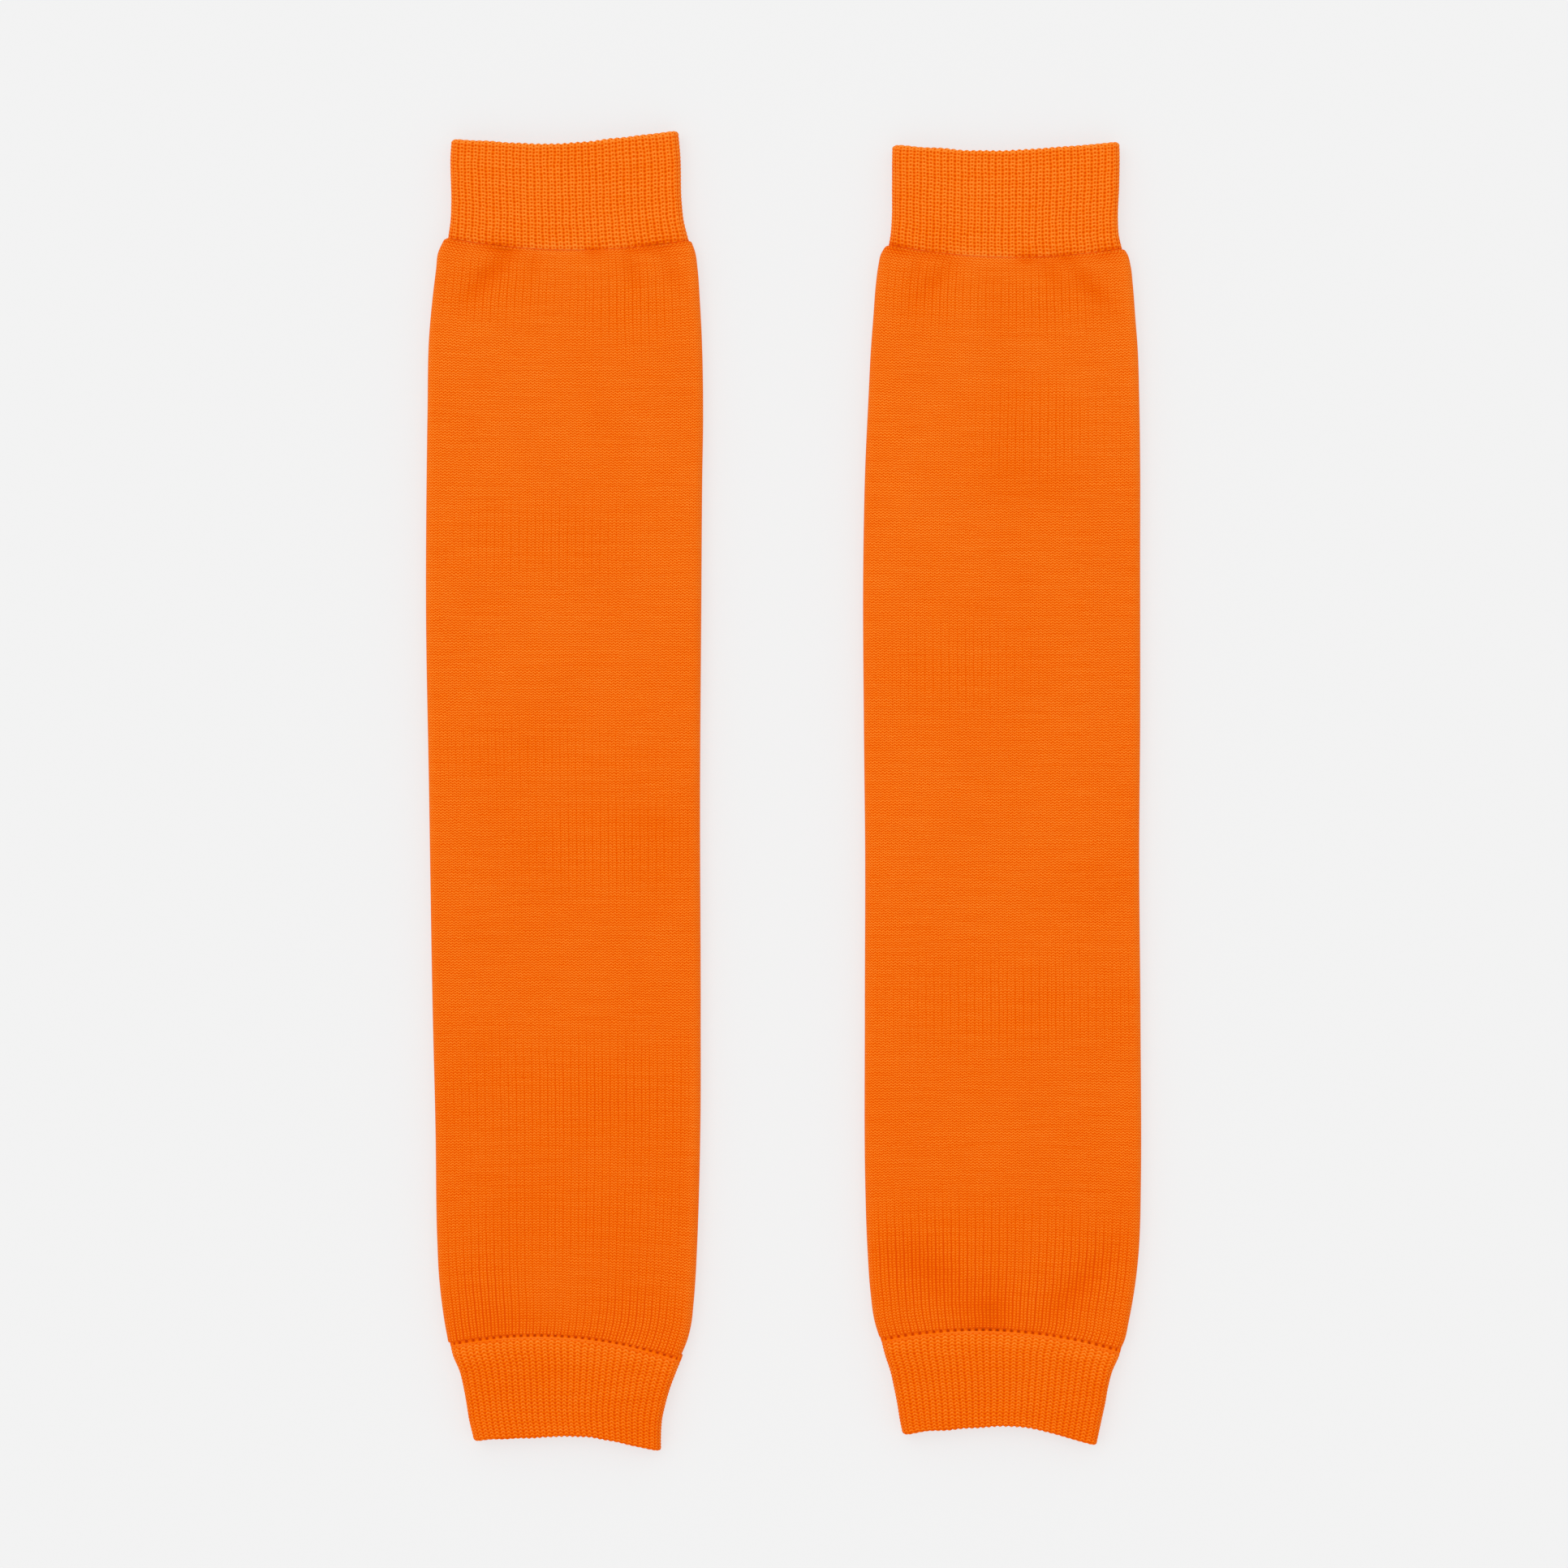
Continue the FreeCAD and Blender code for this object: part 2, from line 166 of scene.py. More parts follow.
# How much of the floor, as the camera sees it, is its even colour. The rest is lit, and holds the shadows.
EVEN_FLOOR = 0.7


class SleeveSizes(bpy.types.PropertyGroup):
    """Sizes that the whole pair shares."""

    ribs: bpy.props.IntProperty(name="Ribs", description="Ribs around a cuff; the leg has two wales to each",
                                default=72, min=12)
    leg_courses: bpy.props.IntProperty(name="Leg courses", description="Rows of loops along a leg",
                                       default=412, min=40)
    cuff_courses: bpy.props.IntProperty(name="Cuff courses", description="Rows of loops along a cuff",
                                        default=29, min=5)
    rib_depth: bpy.props.FloatProperty(name="Rib depth", description="Height of the ribs above their valleys",
                                       default=0.42 * MM, unit="LENGTH")
    leg_ply: bpy.props.FloatProperty(name="Leg ply", description="Thickness of the plain knit",
                                     default=1.1 * MM, unit="LENGTH")
    cuff_ply: bpy.props.FloatProperty(name="Cuff ply", description="Thickness of one ply of rib",
                                      default=0.8 * MM, unit="LENGTH")
    cuff_wall: bpy.props.FloatProperty(name="Cuff wall", description="Both plies of a cuff and their yarns",
                                       default=2.1 * MM, unit="LENGTH")


class YarnColours(bpy.types.PropertyGroup):
    """Colours of the yarns, and the studio."""

    # The raised yarn's colour is a painted highlight, and the sunk yarn's and the gap's colours are painted
    # shade.
    light: bpy.props.FloatVectorProperty(name="Raised yarn", description="Yarn that faces the light",
                                         subtype="COLOR", size=3, min=0, max=1, default=(0.98, 0.273, 0.032))
    body: bpy.props.FloatVectorProperty(name="Yarn", description="Yarn between light and shade",
                                        subtype="COLOR", size=3, min=0, max=1, default=(0.95, 0.162, 0.000))
    shaded_deep: bpy.props.FloatVectorProperty(name="Sunk yarn", description="Yarn down between the loops",
                                        subtype="COLOR", size=3, min=0, max=1, default=(0.775, 0.076, 0.000))
    gap: bpy.props.FloatVectorProperty(name="Gap", description="Shadow in the gaps of a joining course",
                                       subtype="COLOR", size=3, min=0, max=1, default=(0.48, 0.072, 0.000))
    elastic: bpy.props.FloatVectorProperty(name="Elastic", description="Covered elastic yarn",
                                           subtype="COLOR", size=3, min=0, max=1, default=(0.85, 0.80, 0.72))
    floor: bpy.props.FloatVectorProperty(name="Floor", description="The pale surface they lie on",
                                         subtype="COLOR", size=3, min=0, max=1, default=(0.887, 0.887, 0.887))


# ---- shape ----------------------------------------------------------------------------------------


def smooth_through(stations, where, column):
    """The cubic through the stations whose slope at each one is the slope of its neighbours.

    Between two stations, s runs from 0 to 1 and the value is (2s³ - 3s² + 1) a + (s³ - 2s² + s) a' +
    (3s² - 2s³) b + (s³ - s²) b', for values a and b and slopes a' and b' times the step.
    """
    table = np.array(stations) * MM
    at, values = table[:, 0], table[:, column]
    slopes = np.gradient(values, at)
    first = np.clip(np.searchsorted(at, where) - 1, 0, len(at) - 2)
    step = at[first + 1] - at[first]
    s = np.clip((where - at[first]) / step, 0, 1)
    return ((2 * s**3 - 3 * s**2 + 1) * values[first] + (s**3 - 2 * s**2 + s) * step * slopes[first]
            + (3 * s**2 - 2 * s**3) * values[first + 1] + (s**3 - s**2) * step * slopes[first + 1])


def arc_offset(arc, t):
    """How far an end's arc lies from its middle, at t from -1 at the left side to 1 at the right."""
    _, out, tilt, _, ripple, crest = arc
    return (out * t**2 + tilt / 2 * t + ripple * np.cos(2 * math.pi * (t - crest) / RIPPLE_LENGTH)) * MM


def seam_arc(side, which):
    """The arc of the joining course that holds a cuff."""
    return ARCS[side]["seam" if which == "upper" else "ankle"]


def edge_arc(side, which):
    """The arc of a cuff's turned edge."""
    return ARCS[side]["top" if which == "upper" else "hem"]


def flat_tube(share, half, thick, side_run):
    """Places and outward directions round a flattened tube.

    share runs from 0 to 1 by length round the tube: from the middle of the underside to the right, up the
    rounded side, back over the top and down the left. Each side is half an ellipse as high as the tube, and
    side_run is how far it reaches across, over half its height.
    """
    rise = thick / 2
    run = rise * side_run
    flat = half - run
    side = math.pi * np.sqrt((run**2 + rise**2) / 2)
    d = share * (4 * flat + 2 * side)
    ends = (flat, flat + side, 3 * flat + side, 3 * flat + 2 * side)
    spans = [d < e for e in ends]
    right = -math.pi / 2 + math.pi * (d - ends[0]) / side
    left = math.pi / 2 + math.pi * (d - ends[2]) / side
    quarter = math.pi / 2 + d * 0
    angle = np.select(spans, [-quarter, right, quarter, left], 3 * quarter)
    x = np.select(spans, [d, flat + run * np.cos(right), flat - (d - ends[1]), -flat + run * np.cos(left)],
                  -flat + (d - ends[3]))
    return x, rise + rise * np.sin(angle), np.cos(angle), np.sin(angle)


# How far the yarn's nap stands out past the measured outline.
NAP = 0.27 * MM


def sheet_points(side, piece, share, rows, depth, thick, side_run, relief):
    """Places on a piece of a sleeve: rows of points round the tube, each row at its depth below the surface.

    rows gives, for a t across the sleeve, where each row lies along it. Each side's outline is read where
    that side's end of the row lies. relief moves a point out along the tube's outward direction.
    """
    stations = OUTLINES[side][piece]
    one = np.ones((1, 1))
    left = smooth_through(stations, rows(-one)[:, 0], 1)[:, None]
    right = smooth_through(stations, rows(one)[:, 0], 2)[:, None]
    half = (left + right) / 2 + NAP
    x, z, out_x, out_z = flat_tube(share[None, :], half - depth, thick - 2 * depth, side_run)
    y = rows(x / half)
    x = x + out_x * relief
    z = z + depth + out_z * relief
    return np.stack([CENTRE[side] + (right - left) / 2 + x, np.broadcast_to(y, x.shape), z], -1), out_z


def ring_mesh(name, points, u, v):
    """A mesh on rows of points that close round the tube, and close from the last row to the first.

    u runs round the tube with one more value than there are points, and v along the rows likewise. They
    make the map "knit", whose unit is one loop or rib. A second map spreads the same grid over the unit
    square.
    """
    count, around = points.shape[:2]
    i, j = np.meshgrid(np.arange(count), np.arange(around), indexing="ij")
    corners = ((i, j), (i, j + 1), (i + 1, j + 1), (i + 1, j))
    faces = np.stack([(a % count) * around + b % around for a, b in corners], -1).reshape(-1, 4)
    flat = points.reshape(-1, 3)
    p = flat[faces]
    normal = np.cross(p[:, 2] - p[:, 0], p[:, 3] - p[:, 1])
    outwards = np.einsum("ij,ij->", p.mean(1) - flat.mean(0), normal) > 0
    order = [0, 1, 2, 3] if outwards else [3, 2, 1, 0]
    mesh = bpy.data.meshes.new(name)
    mesh.vertices.add(len(flat))
    mesh.vertices.foreach_set("co", flat.astype(np.float32).ravel())
    mesh.loops.add(faces.size)
    mesh.loops.foreach_set("vertex_index", faces[:, order].astype(np.int32).ravel())
    mesh.polygons.add(len(faces))
    mesh.polygons.foreach_set("loop_start", np.arange(0, faces.size, 4, dtype=np.int32))
    mesh.update(calc_edges=True)
    mesh.validate()
    mesh.shade_smooth()
    for label, across, along in (("knit", u, v),
                                 ("OFBake", np.linspace(0, 1, around + 1), np.linspace(0, 1, count + 1))):
        grid = np.stack([np.stack([across[b], along[a]], -1) for a, b in corners], 2)
        layer = mesh.uv_layers.new(name=label)
        layer.data.foreach_set("uv", grid.reshape(-1, 4, 2)[:, order].astype(np.float32).ravel())
    mesh.uv_layers.active = mesh.uv_layers["knit"]
    made = bpy.data.objects.new(name, mesh)
    bpy.context.scene.collection.objects.link(made)
    return made


def point_value(piece, name, values):
    """Stores one number for each point of a piece, for its material to read."""
    layer = piece.data.attributes.new(name, "FLOAT", "POINT")
    layer.data.foreach_set("value", np.broadcast_to(values, (len(piece.data.vertices),)).astype(np.float32))


def soft_spots(spots, x, y):
    """The sum of bell-shaped spots: each is its strength times e to the minus (a² + b²) / 2.

    a and b are the distances from its middle in its half lengths, turned by its angle if it has one.
    """
    total = np.zeros(np.broadcast(x, y).shape)
    for across, along, wide, tall, *angle, strength in spots:
        turn = math.radians(sum(angle))
        dx, dy = x - across * MM, y - along * MM
        a = (dx * math.cos(turn) + dy * math.sin(turn)) / (wide * MM)
        b = (dy * math.cos(turn) - dx * math.sin(turn)) / (tall * MM)
        total += strength * np.exp(-(a**2 + b**2) / 2)
    return total


def soft_bumps(bumps, x):
    """The sum of bell-shaped bumps across a sleeve: each is its strength times e to the minus a² / 2."""
    return sum(strength * np.exp(-(((x - across * MM) / (wide * MM)) ** 2) / 2)
               for across, wide, strength in bumps)


def fading(distance, reach):
    """A share that is 1 where a distance is 0 or less, and falls off as e to the minus distance / reach."""
    return np.exp(-np.clip(distance, 0, None) / reach)


def slow_waves(seed, x, y, lengths, count=14):
    """A soft uneven surface: waves in every direction, whose lengths lie in a range.

    It is the sum of their sines over the square root of their number.
    """
    draw = np.random.default_rng(seed)
    total = np.zeros(np.broadcast(x, y).shape)
    for turn, length, phase in zip(draw.uniform(0, math.pi, count), draw.uniform(*lengths, count),
                                   draw.uniform(0, 2 * math.pi, count)):
        total += np.sin(2 * math.pi * (x * math.cos(turn) + y * math.sin(turn)) / length + phase)
    return total / math.sqrt(count)


def wall_profile(*parts):
    """The parts of a thin wall's section joined into one column of places along and one of depths."""
    return tuple(np.concatenate(column)[:, None] for column in zip(*parts))


def half_round(end, depth, outward):
    """Four points on the half circle that carries a wall's outside round to its inside: places and depths."""
    turn = np.linspace(-math.pi / 2, math.pi / 2, 6)[1:-1]
    return end + outward * depth / 2 * np.cos(turn), depth / 2 + depth / 2 * np.sin(turn)


# ---- materials -------------------------------------------------------------------------------------


class Wire:
    """One output of a node, on which the usual signs make Math nodes."""

    def __init__(self, paint, maker, number):
        self.paint, self.maker, self.number = paint, maker, number

    @property
    def socket(self):
        return self.maker.outputs[self.number]

    def beside(self, number):
        """Another output of the same node."""
        return Wire(self.paint, self.maker, number)

    def math(self, operation, *others):
        return self.paint.node("ShaderNodeMath", {"operation": operation}, self, *others)

    def __add__(self, other):
        return self.math("ADD", other)

    def __sub__(self, other):
        return self.math("SUBTRACT", other)

    def __mul__(self, other):
        return self.math("MULTIPLY", other)

    __radd__, __rmul__ = __add__, __mul__

    def __rsub__(self, other):
        return self.paint.node("ShaderNodeMath", {"operation": "SUBTRACT"}, other, self)

    def cos(self):
        return self.math("COSINE")

    def power(self, other):
        return self.math("POWER", other)

    def clamp(self):
        return self.paint.node("ShaderNodeClamp", {}, self)


class Paint:
    """One material, and the one way to add nodes to it."""

    def __init__(self, name):
        self.material = bpy.data.materials.new(name)
        self.material.use_nodes = True
        self.tree = self.material.node_tree
        self.tree.nodes.clear()

    def feed(self, socket, value):
        if isinstance(value, Wire):
            self.tree.links.new(value.socket, socket)
        else:
            socket.default_value = value

    def node(self, kind, settings, *values, output=0, numbered=(), **named):
        """A new node: its settings, then its sockets in order, by number and by name."""
        made = self.tree.nodes.new(kind)
        for key, value in settings.items():
            setattr(made, key, value)
        for number, value in (*enumerate(values), *numbered):
            self.feed(made.inputs[number], value)
        for key, value in named.items():
            self.feed(made.inputs[key.replace("_", " ")], value)
        return Wire(self, made, output)

    def mix(self, share, first, second):
        """Two colours mixed by a share. On a Mix node, inputs 6 and 7 and output 2 are those for colours."""
        return self.node("ShaderNodeMix", {"data_type": "RGBA"}, share, numbered=((6, first), (7, second)),
                         output=2)

    def finish(self, surface):
        self.node("ShaderNodeOutputMaterial", {}, surface)
        return self.material


def rgba(colour):
    return (*colour, 1.0)


def wave(value):
    """One swell for each whole number: 1 at the whole number and 0 halfway between."""
    return (value * (2 * math.pi)).cos() * 0.5 + 0.5


def knit_material(name, arch, dots, contrast=1.0, rib=0.0, valley=0.0, bump=0.3, drift=0.5, tone=0.0):
    """Knitted yarn, with the light and shade of its loops painted into its colour. Each row of loops is a
    line that rises over every loop's middle.

    With u counting loops round and v counting rows, the line is a swell of v less arch times the cosine of u.
    Raised yarn gets a painted highlight. The holes lie between lines in painted shade, at each loop's middle
    and halfway to the next, and dots is how much deeper their shade is than the rest of the dark between
    lines.
    Between loops, rib makes the holes shallower and valley sinks the yarn into painted shade. Both counts
    drift a little, as hand-laid knit does. Where open_wale_shade is high, painted shade lies between wales,
    most of all between pairs of them. Where shadowed is high the yarn has more painted shade, and at last has
    the colour of a gap; where it is below 0 the yarn has a painted highlight.
    """
    colours = bpy.context.scene.yarn_colours
    paint = Paint(name)
    place = paint.node("ShaderNodeTexCoord", {}, output=3)

    def noise(scale, detail=1.0, at=place):
        return paint.node("ShaderNodeTexNoise", {"noise_dimensions": "3D"}, Vector=at, Scale=scale,
                          Detail=detail, Roughness=0.5)

    # Some courses are knitted a little tighter than others, which leaves faint streaks round the tube. The
    # place is drawn together across the sleeve, so that this noise is long that way.
    level = paint.node("ShaderNodeVectorMath", {"operation": "MULTIPLY"}, place, (0.08, 1.0, 1.0))
    streaks = (noise(700.0, 2.0, level) - 0.5) * 0.27 + (noise(34.0, 2.0) - 0.5) * 0.12

    u = paint.node("ShaderNodeSeparateXYZ", {}, paint.node("ShaderNodeUVMap", {"uv_map": "knit"}))
    v = u.beside(1)
    u = u + (noise(170.0) - 0.5) * (drift * 0.7) + (noise(760.0) - 0.5) * 0.22
    v = v + (noise(140.0) - 0.5) * (drift * 2) + (noise(900.0) - 0.5) * 0.42
    across = wave(u)
    line = wave(v - (across - 0.5) * (2 * arch))
    holes = (1 - line) * (wave(u * 2).power(1.4) * dots + (1 - dots)) * (across * rib + (1 - rib))
    openness = paint.node("ShaderNodeAttribute", {"attribute_name": "open_wale_shade"}, output=2)
    paired = wave(u * 0.5 + 0.25) * 0.55 + 0.6
    between = (1 - across).power(2.0) * openness * paired
    fine = noise(2600.0)
    dark = paint.node("ShaderNodeAttribute", {"attribute_name": "shadowed"}, output=2)
    # The loops' height, the shade between wales and shadowed are painted into the colour as light and shade:
    # the highest yarn turns to the painted highlight, and the lowest to the painted shade of sunk yarn.
    height = (0.88 - holes * (0.92 - openness * 0.3) - between * 0.6 - (1 - across) * valley
              + (fine - 0.5) * 0.3).clamp()
    shade = ((height - 0.5) * contrast + (0.5 + tone) + streaks - dark * 0.9).clamp()
    lower = paint.mix((shade * 2).clamp(), rgba(colours.shaded_deep), rgba(colours.body))
    colour = paint.mix((shade * 2 - 1).clamp(), lower, rgba(colours.light))
    colour = paint.mix(((dark - 0.3) * 1.6).clamp(), colour, rgba(colours.gap))
    raised = paint.node("ShaderNodeBump", {}, Strength=bump, Distance=0.35 * MM, Height=height)
    surface = paint.node("ShaderNodeBsdfPrincipled", {}, Base_Color=colour, Roughness=0.9, Normal=raised,
                         Sheen_Weight=0.02, Sheen_Roughness=0.4, Specular_IOR_Level=0.02)
    return paint.finish(surface)


def elastic_material():
    """Covered elastic yarn: a fine wrapping round a pale core."""
    colours = bpy.context.scene.yarn_colours
    paint = Paint("covered_elastic")
    u = paint.node("ShaderNodeSeparateXYZ", {}, paint.node("ShaderNodeUVMap", {"uv_map": "knit"}))
    wrap = wave(u * 4 + u.beside(1) * 2)
    # The wrapping is darker between its turns: painted shade, following the same height as its bump.
    tone = paint.mix(wrap, rgba([c * 0.8 for c in colours.elastic]), rgba(colours.elastic))
    raised = paint.node("ShaderNodeBump", {}, Strength=0.3, Distance=0.1 * MM, Height=wrap)
    surface = paint.node("ShaderNodeBsdfPrincipled", {}, Base_Color=tone, Roughness=0.7, Normal=raised,
                         Sheen_Weight=0.1)
    return paint.finish(surface)


# How each knit is drawn. The upper cuff's rib is stretched open, so its loops stand as arches with holes side
# by side; the ankle cuff's is closer, with its holes staggered.
KNIT_LOOKS = {
    "plain_knit": {"arch": 0.25, "dots": 0.45, "contrast": 1.35, "tone": -0.115},
    "upper_rib_knit": {"arch": 0.09, "dots": 0.85, "contrast": 1.45, "rib": 0.25, "valley": 0.24,
                       "drift": 0.45, "tone": -0.08},
    "ankle_rib_knit": {"arch": 0.29, "dots": 0.5, "contrast": 0.98, "rib": 0.1, "valley": 0.29,
                       "drift": 0.45, "tone": -0.07},
    "lining_knit": {"arch": 0.4, "dots": 0.6, "rib": 0.2},
    "joining_knit": {"arch": 0.0, "dots": 0.2, "contrast": 0.9, "bump": 0.1, "drift": 0.0, "tone": -0.24},
}


def give_knit(piece, name):
    """Gives a piece the named knit, which is made the first time."""
    piece.data.materials.append(bpy.data.materials.get(name) or knit_material(name, **KNIT_LOOKS[name]))


# ---- pieces ----------------------------------------------------------------------------------------


# How round a leg's sides are, and a joining course's: how far they reach across, over half their height.
LEG_SIDE = 0.62
COURSE_SIDE = 0.6

# The bow of a seam fades out of the leg's rows as e to the minus the distance over this.
SEAM_FADE = 38 * MM

# How far short of the middle of its joining course each end of a leg stops.
LEG_CLEAR = {"upper": 0.65 * MM, "ankle": 1.05 * MM}

# The mean of the soft waves lies this many of their heights below a flat tube.
WAVE_SINK = 1.5


def leg_rows(side, place):
    """Where a leg's rows lie: level in the middle of the leg, and bent to each seam near it."""
    seam, ankle = seam_arc(side, "upper"), seam_arc(side, "ankle")

    def rows(t):
        near_top = np.exp(-(seam[0] * MM - place) / SEAM_FADE)
        near_foot = np.exp(-(place - ankle[0] * MM) / SEAM_FADE)
        return place + near_top * arc_offset(seam, t) + near_foot * arc_offset(ankle, t)

    return rows


def leg_lift(side, x, y, half):
    """How far a leg's front stands above its flat tube: rounded over, softly uneven, and dented."""
    rounding = -0.35 * MM * np.clip(np.abs(x) / half, 0, 1) ** 4
    uneven = 0.12 * MM * (slow_waves(LEG_SEEDS[side], x, y, (18 * MM, 60 * MM)) - WAVE_SINK)
    return rounding + uneven - soft_spots(DENTS[side], x, y) * MM


def leg_profile(foot, top, ply):
    """A leg's wall seen end on: its places along and its depths.

    Its outer rows lie closer near the seams: there the nth of 25 lies at n² / 625 of 12 mm from the end.
    """
    close = 12 * MM
    near = np.linspace(0, 1, 26)[1:] ** 2 * close
    between = np.linspace(foot + close, top - close, 300)[1:-1]
    outside = np.concatenate([foot + near, between, top - near[::-1]])
    inside = np.linspace(top, foot, 24)
    low_place, low_depth = half_round(foot, ply, -1)
    return wall_profile((outside, 0 * outside), half_round(top, ply, 1), (inside, 0 * inside + ply),
                        (low_place[::-1], low_depth[::-1]))


def build_leg(side):
    """The plain-knit tube of one sleeve, as a thin wall that is open at both ends."""
    sizes = bpy.context.scene.sleeve_sizes
    seam, ankle = seam_arc(side, "upper"), seam_arc(side, "ankle")
    top, foot = seam[0] * MM - LEG_CLEAR["upper"], ankle[0] * MM + LEG_CLEAR["ankle"]
    place, depth = leg_profile(foot, top, sizes.leg_ply)
    around = 232
    # The tube thins softly towards each seam, which draws it in.
    draw_in = (fading(top - place, 2.4 * MM) * 0.8 + fading(place - foot, 2.4 * MM) * 0.15) * MM
    points, out_z = sheet_points(side, "leg", np.arange(around) / around, leg_rows(side, place), depth,
                                 LEG_THICK - draw_in, LEG_SIDE, 0.0)
    x, y = points[..., 0] - CENTRE[side], points[..., 1]
    front, outer = np.clip(out_z, 0, 1), (depth <= 0) * 1.0
    half = smooth_through(OUTLINES[side]["leg"], place, 1)
    points[..., 2] += front * leg_lift(side, x, y, half) * (0.4 + 0.6 * outer)
    v = (place[:, 0] - foot) / (top - foot) * sizes.leg_courses
    wales = np.linspace(0, 2 * sizes.ribs, around + 1) + 0.5
    made = ring_mesh(f"{side}_leg", points, wales, np.append(v, v[-1]))

    # The wales open where the leg is drawn wide and at its ankle seam, with painted shade between them, and
    # close where the tube turns over.
    edges = np.clip((np.abs(x) - (half - 2.5 * MM)) / (2.5 * MM), 0, 1)
    near_foot = fading(y - foot - arc_offset(ankle, x / half), 4 * MM)
    opened = soft_spots(OPENED[side], x, y) * front + near_foot * 0.9 - edges * 0.3
    point_value(made, "open_wale_shade", np.clip(opened, 0, 1.2).ravel())

    # Painted shade lies in the creases and dents, and a little painted light just below the upper seam away
    # from its creases. The colour is darker towards the ankle, and has a painted highlight where the tube
    # turns over.
    near_top = fading(top + arc_offset(seam, x / half) - y, 1.2 * MM)
    shade = (near_top * (0.6 * soft_bumps(CREASE_SHADE[side], x) - 0.15) * outer
             + soft_spots(DENTS[side], x, y) * front * 0.27
             + 0.12 * (top - place) / (top - foot)
             - 0.25 * (1 - front) - 0.07 * edges)
    point_value(made, "shadowed", np.clip(shade, -0.4, 0.5).ravel())
    give_knit(made, "plain_knit")
    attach(made, f"{side}_sleeve")
    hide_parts(f"{side}_leg_tube")
    return made


# How far past the middle of its joining course each cuff starts, and how much thinner it is there.
CUFF_START = {"upper": 0.08 * MM, "ankle": 0.85 * MM}
CUFF_SUNK = {"upper": 1.35 * MM, "ankle": 0.92 * MM}

# How much thinner than its solid a cuff is, so that its ribs and its unevenness stay within it.
RIB_ROOM = 0.5 * MM

# How round a cuff's sides are.
CUFF_SIDE = 0.55


def cuff_thick(which, along):
    """A cuff's thickness: it starts sunk at its seam and swells within a few courses."""
    return CUFF_THICK - RIB_ROOM - CUFF_SUNK[which] * fading(along, 1.8 * MM)


def cuff_lift(side, which, points, out_z, along):
    """Moves the front of a cuff's points: as the leg's end does near the seam, and softly uneven beyond."""
    x, y = points[..., 0] - CENTRE[side], points[..., 1]
    half = seam_arc(side, which)[3] * MM
    near = fading(along, 3 * MM)
    uneven = 0.10 * MM * (slow_waves(CUFF_SEEDS[side][which], x, y, (14 * MM, 40 * MM)) - WAVE_SINK)
    points[..., 2] += np.clip(out_z, 0, 1) * (near * leg_lift(side, x, y, half) + (1 - near) * uneven)


def cuff_length(side, which):
    """The length of a cuff in its middle, from its first course to its turned edge."""
    return abs(edge_arc(side, which)[0] - seam_arc(side, which)[0]) * MM - CUFF_START[which]


def cuff_rows(side, which, along):
    """Where a cuff's rows lie: each is the mix of its seam's arc and its edge's arc."""
    seam, edge, outward = seam_arc(side, which), edge_arc(side, which), OUTWARD[which]
    share = np.clip(along / cuff_length(side, which), -0.05, 1.05)

    def rows(t):
        return (seam[0] * MM + outward * (CUFF_START[which] + along)
                + (1 - share) * arc_offset(seam, t) + share * arc_offset(edge, t))

    return rows


def rib_relief(u, v, arch, depth):
    """How far loops stand out: ribs that swell at whole numbers round, with an arch of yarn in every row."""
    rib = 0.5 + 0.5 * np.cos(2 * math.pi * u)
    hole = np.sin(math.pi * (v - arch * np.cos(2 * math.pi * u))) ** 2 * np.cos(2 * math.pi * u) ** 2
    return depth * (0.45 * rib - 0.55 * hole - 0.45)


def bend_at_fold(piece, side, which):
    """Bakes a cuff piece's placement into its mesh, and nothing more: it does not bend the piece at its fold.

    It works out the fold line, the straight line between the ends of the joining course, and the way at a
    right angle to it, but uses neither.
    """
    middle, out, tilt, half = seam_arc(side, which)[:4]
    start = np.array([CENTRE[side], (middle + out) * MM, 0.0])
    way = np.array([-tilt, 2 * half, 0]) * OUTWARD[which] / math.hypot(2 * half, tilt)
    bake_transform(piece)


